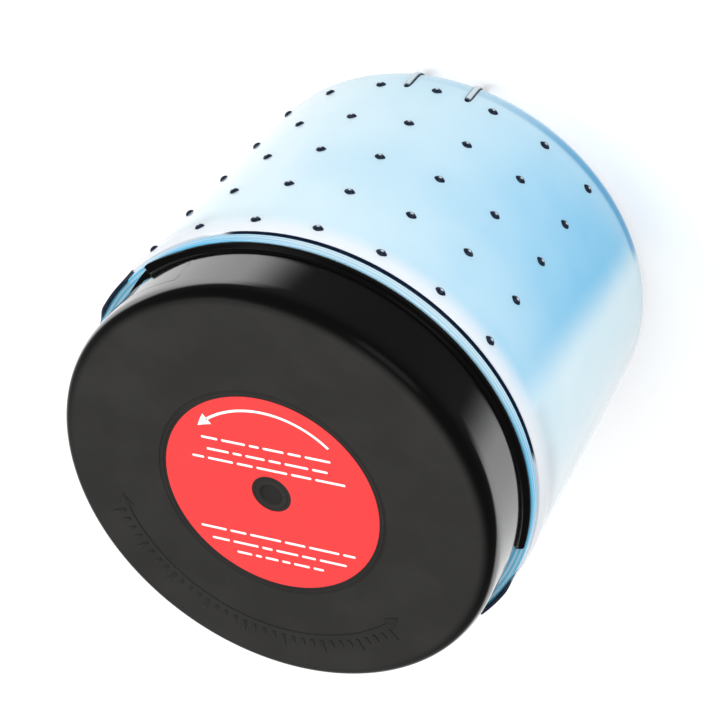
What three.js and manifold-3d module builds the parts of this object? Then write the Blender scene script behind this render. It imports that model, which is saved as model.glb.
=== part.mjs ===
// Bear canister: a clear screw-top food canister with a black lid.
// Millimetres, +Z up. The origin is the centre of the underside, and -Y is the front of the housing.
import * as THREE from 'three';
import { mergeVertices } from 'three/addons/utils/BufferGeometryUtils.js';
import Module from 'manifold-3d';

const wasm = await Module();
wasm.setup();

// ---- Driving dimensions -------------------------------------------------------------------
const HEIGHT = 206;          // underside of the housing to the face of the lid
const GAP = 0.3;             // clearance between pieces that touch
const ROUND = 60;            // facets round a turned shape

// housing
const BASE_R = 107.4;        // wall radius where the base edge ends
const BASE_FILLET = 12;
const SHOULDER_R = 113.2;    // widest radius, where the tapered wall meets the collar
const SHOULDER_Z = 157;
const COLLAR_TOP_Z = 169;    // the flat ring that the lid closes down on
const COLLAR_R = 111.4;
const COLLAR_GROOVE_Z = 163.4;
const HOUSING_WALL = 3.4;
const NECK_R = 98.6;
const NECK_WALL = 3.2;
const NECK_TOP_Z = 199;

// bumps that keep a claw or a jaw from sliding round the wall
const BUMP_ROWS = 5;
const BUMP_COLUMNS = 7;
const BUMP_FIRST_Z = 21;
const BUMP_ROW_STEP = 33.5;
const BUMP_COLUMN_STEP = 15.5;   // degrees
const BUMP_SPHERE_R = 2.7;
const BUMP_SINK = 0.7;           // how far the sphere's centre sits under the wall

// pairs of short ribs that run over the base edge
const RIB_ANGLE = 8.3;           // degrees either side of the middle of a bump field
const RIB_TOP_Z = 22.5;
const RIB_R = 1.5;

// thread: two starts, right-hand
const LEAD = 16;
const STARTS = 2;
const THREAD_SWEEP = 360;        // degrees
const NECK_THREAD_Z = 175.5;     // middle of the ridge at its low end
const LID_THREAD_LIFT = 4;       // the lid's ridges run half way between the neck's
const NECK_RIDGE = { foot: 4.4, crest: 2.2, height: 2.2 };
const LID_RIDGE = { foot: 4.4, crest: 2.4, height: 5.3 };
const THREAD_STEPS = 48;

// lid
const LID_R = 107.6;
const LID_FILLET = 8;
const LID_FACE = 3.5;            // thickness of the face
const SKIRT_INNER_R = 104.4;
const SKIRT_BOTTOM_Z = COLLAR_TOP_Z + GAP;
const FLANGE_R = 110.6;
const FLANGE_H = 1.5;
const FLANGE_COVE_Z = 172.4;     // where the flange has blended into the wall
const RECESS_R = 54.4;
const RECESS_DEPTH = 1;
const HUB_R = 8.2;

// label
const LABEL_R = 53;
const LABEL_HOLE_R = 9.9;
const LABEL_T = 0.5;

// snaps: two springy parts of the skirt, each with a tooth that catches a stop on the collar
const SNAP_ANGLES = [-35.4, 144.6];  // degrees
const SNAP_HALF_WIDTH = 46.6;
const SNAP_SIDE_GAP = 0.4;
const SNAP_TOP_GAP = 0.6;
const SNAP_TOP_Z = 192;
const SNAP_INNER_R = 105.2;
const TOOTH_TAIL = -24.9;            // degrees from the middle of the snap
const TOOTH_FACE = -9.9;
const TOOTH_TIP_R = 112.6;
const TOOTH_H = 2.2;
const PAD_R = 106.4;                 // the push area, a shallow step in the wall that has no flange
const PAD_END = 28;
const PAD_TOP_Z = 188;

// stops on the collar, one ahead of each tooth
const STOP_FACE = -1.9;              // degrees from the middle of the snap
const STOP_TAIL = 16.1;
const STOP_INNER_R = 111.1;
const STOP_OUTER_R = 113.1;
const STOP_BOTTOM_Z = 160;
const STOP_TOP_Z = 171.6;

// ---- Helpers ------------------------------------------------------------------------------
const rad = THREE.MathUtils.degToRad;

function solidOf(geometry) {
  const bare = geometry.clone();
  bare.deleteAttribute('normal');
  bare.deleteAttribute('uv');
  const merged = mergeVertices(bare, 1e-4);
  return new wasm.Manifold(new wasm.Mesh({
    numProp: 3,
    vertProperties: Float32Array.from(merged.attributes.position.array),
    triVerts: Uint32Array.from(merged.index.array),
  }));
}

function geometryOf(solid) {
  const mesh = solid.getMesh();
  const geometry = new THREE.BufferGeometry();
  geometry.setAttribute('position', new THREE.BufferAttribute(mesh.vertProperties, 3));
  geometry.setIndex(new THREE.BufferAttribute(mesh.triVerts, 1));
  geometry.computeVertexNormals();
  return geometry;
}

// a path of radius and height, turned about the Z axis
function turned(path, arcSteps = 2) {
  const geometry = new THREE.LatheGeometry(path.getPoints(arcSteps), ROUND);
  geometry.rotateX(Math.PI / 2);
  return geometry;
}

// a flat sector of a ring between two angles, from its inner edge to its outer edge
function sector(innerR, outerRStart, outerREnd, startDeg, endDeg, bottomZ, topZ) {
  const steps = 6;
  const shape = new THREE.Shape();
  for (let i = 0; i <= steps; i += 1) {
    const share = i / steps;
    const angle = rad(startDeg + (endDeg - startDeg) * share);
    const r = outerRStart + (outerREnd - outerRStart) * share;
    const method = i === 0 ? 'moveTo' : 'lineTo';
    shape[method](r * Math.cos(angle), r * Math.sin(angle));
  }
  for (let i = steps; i >= 0; i -= 1) {
    const angle = rad(startDeg + (endDeg - startDeg) * i / steps);
    shape.lineTo(innerR * Math.cos(angle), innerR * Math.sin(angle));
  }
  const geometry = new THREE.ExtrudeGeometry(shape, { depth: topZ - bottomZ, bevelEnabled: false });
  geometry.translate(0, 0, bottomZ);
  return geometry;
}

// a straight ridge bent into a helix; inward is -1 for a ridge that points at the axis
function threadRidge(ridge, rootR, inward, lowZ, startDeg) {
  const sink = 0.8;
  const shape = new THREE.Shape();
  shape.moveTo(-sink, -ridge.foot / 2);
  shape.lineTo(0, -ridge.foot / 2);
  shape.lineTo(ridge.height, -ridge.crest / 2);
  shape.lineTo(ridge.height, ridge.crest / 2);
  shape.lineTo(0, ridge.foot / 2);
  shape.lineTo(-sink, ridge.foot / 2);
  const geometry = new THREE.ExtrudeGeometry(shape, { depth: 1, steps: THREAD_STEPS, bevelEnabled: false });
  const position = geometry.attributes.position;
  for (let i = 0; i < position.count; i += 1) {
    const along = position.getZ(i);
    const runIn = Math.min(1, 0.15 + along * 12, 0.15 + (1 - along) * 12);
    const out = position.getX(i) > 0 ? position.getX(i) * runIn : position.getX(i);
    const angle = rad(startDeg + THREAD_SWEEP * along);
    const r = rootR + inward * out;
    const z = lowZ + position.getY(i) + LEAD * THREAD_SWEEP / 360 * along;
    position.setXYZ(i, r * Math.cos(angle), r * Math.sin(angle), z);
  }
  if (inward > 0) flip(geometry);
  return geometry;
}

// turns every face of an unindexed geometry round
function flip(geometry) {
  const array = geometry.attributes.position.array;
  for (let i = 0; i < array.length; i += 9) {
    for (let k = 0; k < 3; k += 1) {
      const held = array[i + k];
      array[i + k] = array[i + 3 + k];
      array[i + 3 + k] = held;
    }
  }
}

function addAll(solid, geometries) {
  return geometries.reduce((sum, geometry) => sum.add(solidOf(geometry)), solid);
}

// ---- Housing ------------------------------------------------------------------------------
function wallRadius(z) {
  return BASE_R + (SHOULDER_R - BASE_R) * (z - BASE_FILLET) / (SHOULDER_Z - BASE_FILLET);
}

function housingShell() {
  const innerFillet = BASE_FILLET - HOUSING_WALL;
  const neckInner = NECK_R - NECK_WALL;
  const ceiling = COLLAR_TOP_Z - HOUSING_WALL;
  const path = new THREE.Path();
  path.moveTo(0, 0);
  path.lineTo(BASE_R - BASE_FILLET, 0);
  path.absarc(BASE_R - BASE_FILLET, BASE_FILLET, BASE_FILLET, -Math.PI / 2, 0);
  path.lineTo(SHOULDER_R, SHOULDER_Z);
  path.quadraticCurveTo(SHOULDER_R - 0.1, COLLAR_GROOVE_Z - 3, COLLAR_R + 0.6, COLLAR_GROOVE_Z - 0.8);
  path.lineTo(COLLAR_R - 0.4, COLLAR_GROOVE_Z - 0.4);
  path.lineTo(COLLAR_R - 0.4, COLLAR_GROOVE_Z + 0.4);
  path.lineTo(COLLAR_R + 0.4, COLLAR_GROOVE_Z + 0.9);
  path.lineTo(COLLAR_R, COLLAR_TOP_Z - 0.8);
  path.lineTo(COLLAR_R - 0.8, COLLAR_TOP_Z);
  path.lineTo(NECK_R + 1, COLLAR_TOP_Z);
  path.lineTo(NECK_R, COLLAR_TOP_Z + 1);
  path.lineTo(NECK_R, NECK_TOP_Z - 0.8);
  path.lineTo(NECK_R - 0.8, NECK_TOP_Z);
  path.lineTo(neckInner + 0.8, NECK_TOP_Z);
  path.lineTo(neckInner, NECK_TOP_Z - 0.8);
  path.lineTo(neckInner, ceiling + 1);
  path.lineTo(neckInner + 1, ceiling);
  path.lineTo(COLLAR_R - 6, ceiling);
  const innerShoulderR = SHOULDER_R - HOUSING_WALL;
  path.quadraticCurveTo(innerShoulderR, ceiling, innerShoulderR, SHOULDER_Z);
  path.lineTo(BASE_R - HOUSING_WALL, BASE_FILLET);
  path.absarc(BASE_R - BASE_FILLET, BASE_FILLET, innerFillet, 0, -Math.PI / 2, true);
  path.lineTo(0, HOUSING_WALL);
  return turned(path);
}

function bumps() {
  const all = [];
  for (const front of [-90, 90]) {
    for (let column = 0; column < BUMP_COLUMNS; column += 1) {
      for (let row = 0; row < BUMP_ROWS; row += 1) {
        const angle = rad(front + (column - (BUMP_COLUMNS - 1) / 2) * BUMP_COLUMN_STEP);
        const z = BUMP_FIRST_Z + row * BUMP_ROW_STEP;
        const dome = new THREE.SphereGeometry(BUMP_SPHERE_R, 6, 4);
        dome.rotateZ(-Math.PI / 2);
        dome.rotateZ(angle);
        const r = wallRadius(z) - BUMP_SINK;
        dome.translate(r * Math.cos(angle), r * Math.sin(angle), z);
        all.push(dome);
      }
    }
  }
  return all;
}

function ribs() {
  const all = [];
  const section = new THREE.Shape();
  section.absarc(0, 0, RIB_R, 0, Math.PI * 2);
  const filletR = BASE_FILLET - 0.3;
  for (const front of [-90, 90]) {
    for (const side of [-1, 1]) {
      const route = [new THREE.Vector3(wallRadius(RIB_TOP_Z) - 0.3, 0, RIB_TOP_Z)];
      for (const turn of [0, -22, -44, -60]) {
        const r = BASE_R - BASE_FILLET + filletR * Math.cos(rad(turn));
        route.push(new THREE.Vector3(r, 0, BASE_FILLET + filletR * Math.sin(rad(turn))));
      }
      const rib = new THREE.ExtrudeGeometry(section, {
        steps: 9, curveSegments: 4, extrudePath: new THREE.CatmullRomCurve3(route), bevelEnabled: false,
      });
      rib.rotateZ(rad(front + side * RIB_ANGLE));
      all.push(rib);
    }
  }
  return all;
}

function stops() {
  return SNAP_ANGLES.map((middle) => sector(
    STOP_INNER_R, STOP_OUTER_R, STOP_OUTER_R,
    middle + STOP_FACE, middle + STOP_TAIL, STOP_BOTTOM_Z, STOP_TOP_Z,
  ));
}

function neckThreads() {
  const all = [];
  for (let start = 0; start < STARTS; start += 1) {
    all.push(threadRidge(NECK_RIDGE, NECK_R, 1, NECK_THREAD_Z, start * 360 / STARTS));
  }
  return all;
}

function housing() {
  const shell = solidOf(housingShell());
  return geometryOf(addAll(shell, [...bumps(), ...ribs(), ...stops(), ...neckThreads()]));
}

// ---- Lid ----------------------------------------------------------------------------------
// the wall and flange that the lid and its snaps share, from the flange's underside upwards
function skirtOutline(path) {
  path.lineTo(FLANGE_R - 0.3, SKIRT_BOTTOM_Z);
  path.lineTo(FLANGE_R, SKIRT_BOTTOM_Z + 0.3);
  path.lineTo(FLANGE_R, SKIRT_BOTTOM_Z + FLANGE_H);
  path.quadraticCurveTo(LID_R, SKIRT_BOTTOM_Z + FLANGE_H, LID_R, FLANGE_COVE_Z);
}

function lidShell() {
  const underside = HEIGHT - LID_FACE;
  const floor = HEIGHT - RECESS_DEPTH;
  const path = new THREE.Path();
  path.moveTo(0, underside);
  path.lineTo(SKIRT_INNER_R - 4, underside);
  path.lineTo(SKIRT_INNER_R, underside - 4);
  path.lineTo(SKIRT_INNER_R, SKIRT_BOTTOM_Z);
  skirtOutline(path);
  path.lineTo(LID_R, HEIGHT - LID_FILLET);
  path.absarc(LID_R - LID_FILLET, HEIGHT - LID_FILLET, LID_FILLET, 0, Math.PI / 2);
  path.lineTo(RECESS_R + 0.4, HEIGHT);
  path.lineTo(RECESS_R, floor);
  path.lineTo(HUB_R, floor);
  path.lineTo(HUB_R - 0.8, floor + 0.6);
  path.lineTo(HUB_R - 2.6, floor + 0.6);
  path.lineTo(HUB_R - 3.4, floor - 0.6);
  path.lineTo(0, floor - 0.6);
  return turned(path, 3);
}

// a block across the skirt at a snap, square to the way the snap is pressed
function snapBlock(middleDeg, halfWidth, bottomZ, topZ) {
  const nearR = 90;
  const farR = 120;
  const block = new THREE.BoxGeometry(farR - nearR, 2 * halfWidth, topZ - bottomZ);
  block.translate((nearR + farR) / 2, 0, (bottomZ + topZ) / 2);
  block.rotateZ(rad(middleDeg));
  return block;
}

function lidThreads() {
  const all = [];
  for (let start = 0; start < STARTS; start += 1) {
    const lowZ = NECK_THREAD_Z + LID_THREAD_LIFT;
    all.push(threadRidge(LID_RIDGE, SKIRT_INNER_R, -1, lowZ, start * 360 / STARTS));
  }
  return all;
}

function lid() {
  let solid = addAll(solidOf(lidShell()), lidThreads());
  for (const middle of SNAP_ANGLES) {
    const halfWidth = SNAP_HALF_WIDTH + SNAP_SIDE_GAP;
    const window = snapBlock(middle, halfWidth, SKIRT_BOTTOM_Z - 5, SNAP_TOP_Z + SNAP_TOP_GAP);
    solid = solid.subtract(solidOf(window));
  }
  return geometryOf(solid);
}

function snapTongue(middleDeg) {
  const path = new THREE.Path();
  path.moveTo(SNAP_INNER_R, SKIRT_BOTTOM_Z);
  skirtOutline(path);
  path.lineTo(LID_R, SNAP_TOP_Z + 5);
  path.lineTo(SNAP_INNER_R, SNAP_TOP_Z + 5);
  path.lineTo(SNAP_INNER_R, SKIRT_BOTTOM_Z);
  const block = snapBlock(middleDeg, SNAP_HALF_WIDTH, SKIRT_BOTTOM_Z - 5, SNAP_TOP_Z);
  const wall = solidOf(turned(path)).intersect(solidOf(block));
  const tooth = sector(
    FLANGE_R - 2, FLANGE_R - 0.2, TOOTH_TIP_R,
    middleDeg + TOOTH_TAIL, middleDeg + TOOTH_FACE, SKIRT_BOTTOM_Z, SKIRT_BOTTOM_Z + TOOTH_H,
  );
  const root = sector(
    SNAP_INNER_R + 0.5, FLANGE_R - 1, FLANGE_R - 1,
    middleDeg + TOOTH_TAIL + 2, middleDeg + TOOTH_FACE, SKIRT_BOTTOM_Z, SKIRT_BOTTOM_Z + TOOTH_H,
  );
  const pad = sector(
    PAD_R, LID_R + 10, LID_R + 10,
    middleDeg + TOOTH_FACE, middleDeg + PAD_END, SKIRT_BOTTOM_Z - 5, PAD_TOP_Z,
  );
  return geometryOf(addAll(wall, [tooth, root]).subtract(solidOf(pad)));
}

// ---- Label --------------------------------------------------------------------------------
function label() {
  const bottom = HEIGHT - RECESS_DEPTH + GAP;
  const path = new THREE.Path();
  path.moveTo(LABEL_HOLE_R, bottom);
  path.lineTo(LABEL_R, bottom);
  path.lineTo(LABEL_R, bottom + LABEL_T);
  path.lineTo(LABEL_HOLE_R, bottom + LABEL_T);
  path.lineTo(LABEL_HOLE_R, bottom);
  return turned(path);
}

// ---- Assembly -----------------------------------------------------------------------------
function piece(name, geometry, material) {
  const mesh = new THREE.Mesh(geometry, new THREE.MeshStandardMaterial(material));
  mesh.name = name;
  return mesh;
}

const CLEAR_BLUE = { color: 0x9fd4f2, roughness: 0.08, metalness: 0, transparent: true, opacity: 0.5 };
const BLACK_PLASTIC = { color: 0x222221, roughness: 0.4, metalness: 0 };
const RED_VINYL = { color: 0xf04a4b, roughness: 0.45, metalness: 0 };

const canister = new THREE.Group();
canister.add(piece('housing', housing(), CLEAR_BLUE));
canister.add(piece('lid', lid(), BLACK_PLASTIC));
SNAP_ANGLES.forEach((middle, i) => {
  canister.add(piece(`snap_tongue_${i + 1}`, snapTongue(middle), BLACK_PLASTIC));
});
canister.add(piece('label', label(), RED_VINYL));

export default canister;
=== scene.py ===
"""Bear canister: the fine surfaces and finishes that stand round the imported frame."""
import itertools
import math

import bmesh
import bpy
import numpy as np
from bpy.props import FloatProperty, FloatVectorProperty, IntProperty, PointerProperty
from mathutils import Matrix, Vector


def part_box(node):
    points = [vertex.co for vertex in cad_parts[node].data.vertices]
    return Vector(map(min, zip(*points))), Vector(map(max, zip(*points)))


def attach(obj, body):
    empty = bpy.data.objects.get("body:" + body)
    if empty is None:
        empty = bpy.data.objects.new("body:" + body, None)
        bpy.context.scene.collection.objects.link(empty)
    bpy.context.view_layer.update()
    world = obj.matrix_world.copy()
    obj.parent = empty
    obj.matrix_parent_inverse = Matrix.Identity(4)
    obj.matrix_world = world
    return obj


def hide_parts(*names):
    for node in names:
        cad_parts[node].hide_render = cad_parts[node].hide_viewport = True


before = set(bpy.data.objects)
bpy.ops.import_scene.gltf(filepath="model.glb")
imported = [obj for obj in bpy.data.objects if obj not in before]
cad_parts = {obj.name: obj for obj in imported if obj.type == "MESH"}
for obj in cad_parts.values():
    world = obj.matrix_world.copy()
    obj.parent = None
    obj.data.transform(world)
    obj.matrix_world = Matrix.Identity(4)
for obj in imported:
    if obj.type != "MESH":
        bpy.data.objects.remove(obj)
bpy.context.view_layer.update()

bl_info = {
    "name": "Bear canister",
    "version": (1, 0, 0),
    "blender": (4, 5, 0),
    "location": "3D View > Sidebar > Canister",
    "description": "Builds a clear screw-top food canister with a black snap lid",
    "category": "Add Mesh",
}

MM = 0.001
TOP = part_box("lid")[1].z
LID_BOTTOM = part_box("lid")[0].z
CLEARANCE = 0.3 * MM
COLLAR_TOP = LID_BOTTOM - CLEARANCE
NECK_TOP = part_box("housing")[1].z
HOUSING = ("housing", "clear_housing")
LID = ("lid", "black_lid")
FRONT_AND_BACK = (-90.0, 90.0)
WHITE = (1.0, 1.0, 1.0)


def length(name, default_mm, description):
    """A size that a user may change, in metres, with its default given in millimetres."""
    return FloatProperty(name=name, description=description, default=default_mm * MM, unit="LENGTH",
                         precision=5, min=0.0)


def angle(name, default_deg, description):
    """An angle that a user may change, with its default given in degrees."""
    return FloatProperty(name=name, description=description, default=math.radians(default_deg),
                         subtype="ANGLE")


def colour(name, default, description):
    """A colour that a user may change."""
    return FloatVectorProperty(name=name, description=description, default=default, size=3,
                               subtype="COLOR", min=0.0, max=1.0)


class CANISTER_PG_housing(bpy.types.PropertyGroup):
    """Sizes and colours of the clear housing."""
    base_r: length("Base radius", 107.4, "Wall radius where the base edge ends")
    base_fillet: length("Base edge", 12.0, "Radius of the base's rounded edge")
    shoulder_r: length("Shoulder radius", 113.2, "Widest radius, where the wall meets the collar")
    shoulder_z: length("Shoulder height", 157.0, "Height of the widest radius")
    collar_r: length("Collar radius", 111.4, "Radius of the collar above its groove")
    collar_z: length("Collar height", 169.0, "Height of the flat ring under the lid")
    groove_z: length("Groove height", 163.4, "Height of the groove round the collar")
    wall: length("Wall", 3.4, "Thickness of the wall")
    neck_r: length("Neck radius", 98.6, "Outer radius of the neck under the lid")
    neck_wall: length("Neck wall", 3.2, "Thickness of the neck")
    bump_first_z: length("First row", 21.0, "Height of the lowest row of bumps")
    bump_row_step: length("Row step", 33.5, "Height from one row of bumps to the next")
    bump_column_step: angle("Column step", 15.5, "Angle from one column of bumps to the next")
    bump_r: length("Bump radius", 2.1, "Radius of a bump where it meets the wall")
    bump_height: length("Bump height", 1.45, "How far a bump stands out of the wall")
    rib_angle: angle("Rib angle", 8.3, "Angle of each base rib from the middle of the bumps")
    rib_top_z: length("Rib top", 22.5, "Height where a base rib begins")
    # Pale and deep are blended by painted shade, and clear is the white of a painted reflection.
    pale: colour("Pale", (0.65, 0.81, 0.87), "Colour of the clear plastic where it is thin")
    deep: colour("Deep", (0.085, 0.48, 0.76), "Colour of the clear plastic where it is thick")
    clear: colour("Clear", (0.79, 0.855, 0.90), "Colour of the clear plastic at its palest")
    # The light edge is a painted highlight, and the dark edge is a painted shade.
    painted_highlight: colour("Light edge", (0.80, 0.82, 0.86), "Colour of the shoulder and the base edge")
    painted_shade_dark: colour("Dark edge", (0.002, 0.006, 0.022), "Colour of the groove, bumps and stops")


class CANISTER_PG_thread(bpy.types.PropertyGroup):
    """The two-start thread of neck and lid."""
    lead: length("Lead", 16.0, "Rise of the thread in one turn")
    low_z: length("Low end", 175.5, "Height of the middle of the neck's ridge at its low end")
    lid_lift: length("Lid ridge lift", 4.0, "Height of the lid's ridge over the neck's")
    starts: IntProperty(name="Starts", description="Number of ridges side by side", default=2, min=1)


class CANISTER_PG_lid(bpy.types.PropertyGroup):
    """Sizes and colours of the lid and its snaps."""
    radius: length("Lid radius", 107.6, "Outer radius of the skirt")
    fillet: length("Edge radius", 8.0, "Radius of the rounded edge of the face")
    skirt_inner_r: length("Skirt inside", 104.4, "Inner radius of the skirt")
    flange_r: length("Flange radius", 110.6, "Radius of the flange at the foot of the skirt")
    flange_h: length("Flange height", 1.6, "Height of the flange's rim")
    face: length("Face", 3.5, "Thickness of the face")
    recess_r: length("Recess radius", 54.2, "Radius of the recess that holds the label")
    recess_depth: length("Recess depth", 0.95, "Depth of the label's recess")
    ring_r: length("Ring radius", 55.9, "Radius of the thin groove round the label")
    hub_r: length("Hub radius", 8.2, "Radius of the raised hub in the middle")
    snap_middle: angle("Snap middle", -35.4, "Angle of the middle of the first snap")
    snap_half_width: length("Snap half width", 47.0, "Half the width of a snap's window")
    snap_window_z: length("Window top", 192.6, "Height of the top of a snap's window")
    snap_inner_r: length("Snap inside", 105.2, "Inner radius of a snap")
    tooth_r: length("Tooth radius", 112.2, "Radius of the tip of a snap's tooth")
    tooth_h: length("Tooth height", 2.1, "Height of a snap's tooth")
    tooth_tail: angle("Tooth tail", -24.6, "Where a tooth's ramp begins, from the middle of the snap")
    tooth_face: angle("Tooth face", -9.9, "Where a tooth's ramp ends, from the middle of the snap")
    pad_r: length("Push area radius", 106.3, "Radius of the textured push area beside a tooth")
    pad_z: length("Push area top", 188.0, "Height of the top of the push area")
    hinge_x: length("Hinge distance", 98.3, "Distance from the axis to the line on which a snap swings")
    hinge_z: length("Hinge height", 192.133, "Height of that line")
    swing: angle("Swing", 6.3, "How far a snap can be pushed in")
    taper_r: length("Taper radius", 110.0, "Radius of the flange just past a tooth")
    taper_span: angle("Taper span", 11.5, "Angle over which that flange runs out")
    plastic: colour("Plastic", (0.0225, 0.0220, 0.0208), "Colour of the lid's plastic")


class CANISTER_PG_label(bpy.types.PropertyGroup):
    """Sizes and colours of the round label."""
    radius: length("Label radius", 53.0, "Outer radius of the label")
    hole_r: length("Hole radius", 9.7, "Radius of the hole in the middle")
    thickness: length("Thickness", 0.25, "Thickness of the label")
    up: angle("Up", -83.9, "Direction in which the label's print stands upright")
    red: colour("Red", (0.735, 0.036, 0.037), "Colour of the label")
    white: colour("White", (0.93, 0.92, 0.90), "Colour of the print")


class CANISTER_PG_stage(bpy.types.PropertyGroup):
    """The floor, the lights and the camera."""
    azimuth: angle("Azimuth", -117.55, "Direction from the canister to the camera")
    elevation: angle("Elevation", 46.45, "Height of the camera over the horizon")
    distance: length("Distance", 1241.0, "Distance from the camera to its aim")
    roll: angle("Roll", 143.64, "Turn of the camera about its own line of sight")
    aim_z: length("Aim height", 100.74, "Height of the point that the camera looks at")
    aim_side: length("Aim side", 3.68, "Sideways offset of that point from the axis")
    lens: FloatProperty(name="Lens", description="Focal length in millimetres", default=130.04)
    floor: colour("Floor", (0.93, 0.93, 0.935), "Colour of the floor")


GROUPS = {
    "canister_housing": CANISTER_PG_housing,
    "canister_thread": CANISTER_PG_thread,
    "canister_lid": CANISTER_PG_lid,
    "canister_label": CANISTER_PG_label,
    "canister_stage": CANISTER_PG_stage,
}


# ---- Surfaces ----

def rounded(corners, steps=6):
    """A polyline whose corners (r, z, radius) are rounded, worked out on complex numbers r + iz.

    At each corner an arc touches both sides: it starts radius * tan(turn / 2) before the corner, and
    its points are that start turned about the arc's centre by equal shares of the corner's turn.
    """
    r, z, radius = np.array(corners, float).T
    points = r + 1j * z
    side = np.diff(points) / np.abs(np.diff(points))
    before, after = side[:-1], side[1:]
    bend = np.angle(after / before)
    start = points[1:-1] - before * radius[1:-1] * np.tan(np.abs(bend) / 2)
    centre = start + 1j * before * np.sign(bend) * radius[1:-1]
    share = np.linspace(0, 1, steps + 1)
    arcs = centre[:, None] + (start - centre)[:, None] * np.exp(1j * bend[:, None] * share)
    line = np.concatenate([points[:1], arcs.ravel(), points[-1:]])
    return np.stack([line.real, line.imag], 1)


def spaced(profile, step):
    """The same polyline with extra points on its long sides, no further apart than step."""
    gaps = np.linalg.norm(np.diff(profile, axis=0), axis=1)
    counts = np.maximum(1, np.ceil(gaps / step).astype(int))
    parts = [profile[i] + (profile[i + 1] - profile[i]) * np.linspace(0, 1, n, endpoint=False)[:, None]
             for i, n in enumerate(counts)]
    return np.concatenate(parts + [profile[-1:]])


def grid_faces(nu, nv, close_u, close_v, first=0):
    """Quads between neighbours of an nu by nv grid of points, numbered along v and then u."""
    u = np.arange(nu if close_u else nu - 1)
    v = np.arange(nv if close_v else nv - 1)
    uu, vv = np.meshgrid(u, v, indexing="ij")
    u2, v2 = (uu + 1) % nu, (vv + 1) % nv
    quads = np.stack([uu * nv + vv, u2 * nv + vv, u2 * nv + v2, uu * nv + v2], -1)
    return quads.reshape(-1, 4) + first


class Surface:
    """Collects grids of points and makes one mesh object of them."""

    def __init__(self):
        self.points, self.faces, self.count = [], [], 0

    def grid(self, points, close_u=False, close_v=False, caps=False):
        """Adds a grid of shape (nu, nv, 3). With caps, its first and last sections are closed."""
        nu, nv = points.shape[:2]
        self.faces += grid_faces(nu, nv, close_u, close_v, self.count).tolist()
        if caps:
            ring = np.arange(nv) + self.count
            self.faces.append(ring[::-1].tolist())
            self.faces.append((ring + (nu - 1) * nv).tolist())
        self.points.append(points.reshape(-1, 3))
        self.count += nu * nv
        return self

    def bars(self, *grids):
        """Adds grids whose sections are closed, and closes the two ends of each."""
        for points in grids:
            self.grid(points, close_v=True, caps=True)
        return self

    def build(self, name, sharp=40.0):
        """Makes the object: doubles are merged, faces are turned outwards and shaded smooth."""
        mesh = bpy.data.meshes.new(name)
        mesh.from_pydata(np.concatenate(self.points), [], self.faces)
        bm = bmesh.new()
        bm.from_mesh(mesh)
        bmesh.ops.remove_doubles(bm, verts=bm.verts, dist=2e-6)
        bmesh.ops.dissolve_degenerate(bm, edges=bm.edges, dist=1e-6)
        bmesh.ops.recalc_face_normals(bm, faces=bm.faces)
        bm.to_mesh(mesh)
        bm.free()
        mesh.shade_smooth()
        mesh.set_sharp_from_angle(angle=math.radians(sharp))
        piece = bpy.data.objects.new(name, mesh)
        bpy.context.scene.collection.objects.link(piece)
        return piece


def polar(r, a, z):
    """A grid of points (r cos a, r sin a, z)."""
    r, a, z = np.broadcast_arrays(r, a, z)
    return np.stack([r * np.cos(a), r * np.sin(a), z], -1)


def revolve(profile, angles):
    """A profile of (r, z) turned about the Z axis to each of the angles."""
    return polar(profile[:, 0], angles[:, None], profile[:, 1])


def all_round(count):
    """The angles of a full turn, evenly spaced."""
    return np.linspace(0, 2 * np.pi, count, endpoint=False)


def turn(degrees):
    """A turn about the Z axis."""
    return Matrix.Rotation(math.radians(degrees), 4, "Z")


def placed(points, place):
    """The points moved by a 4 by 4 matrix."""
    place = np.array(place)
    return points @ place[:3, :3].T + place[:3, 3]


def smooth(x):
    """0 below 0, 1 above 1, and 3x^2 - 2x^3 between."""
    x = np.clip(x, 0, 1)
    return x * x * (3 - 2 * x)


def add_piece(surface, name, body, slot, material, *replaces, sharp=40.0):
    """Builds a piece, gives it its material, and says what it rides on and what it replaces. Its slot
    argument is not used."""
    piece = surface.build(name, sharp)
    piece.data.materials.append(material)
    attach(piece, body)
    if replaces:
        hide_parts(*replaces)
    return piece


def paint(piece, name, value_at):
    """Stores a value at each point of a piece's mesh, worked out from the point's place."""
    points = np.empty(len(piece.data.vertices) * 3)
    piece.data.vertices.foreach_get("co", points)
    values = value_at(*points.reshape(-1, 3).T)
    piece.data.attributes.new(name, "FLOAT", "POINT").data.foreach_set("value", values)


def angle_from(place, degrees, repeat=360):
    """The signed angle from a place, or from the nearest of its repeats round the axis."""
    return (degrees - place + repeat / 2) % repeat - repeat / 2


def bearing(x, y):
    """The angle round the Z axis, in degrees."""
    return np.degrees(np.arctan2(y, x))


# ---- Materials ----

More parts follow.
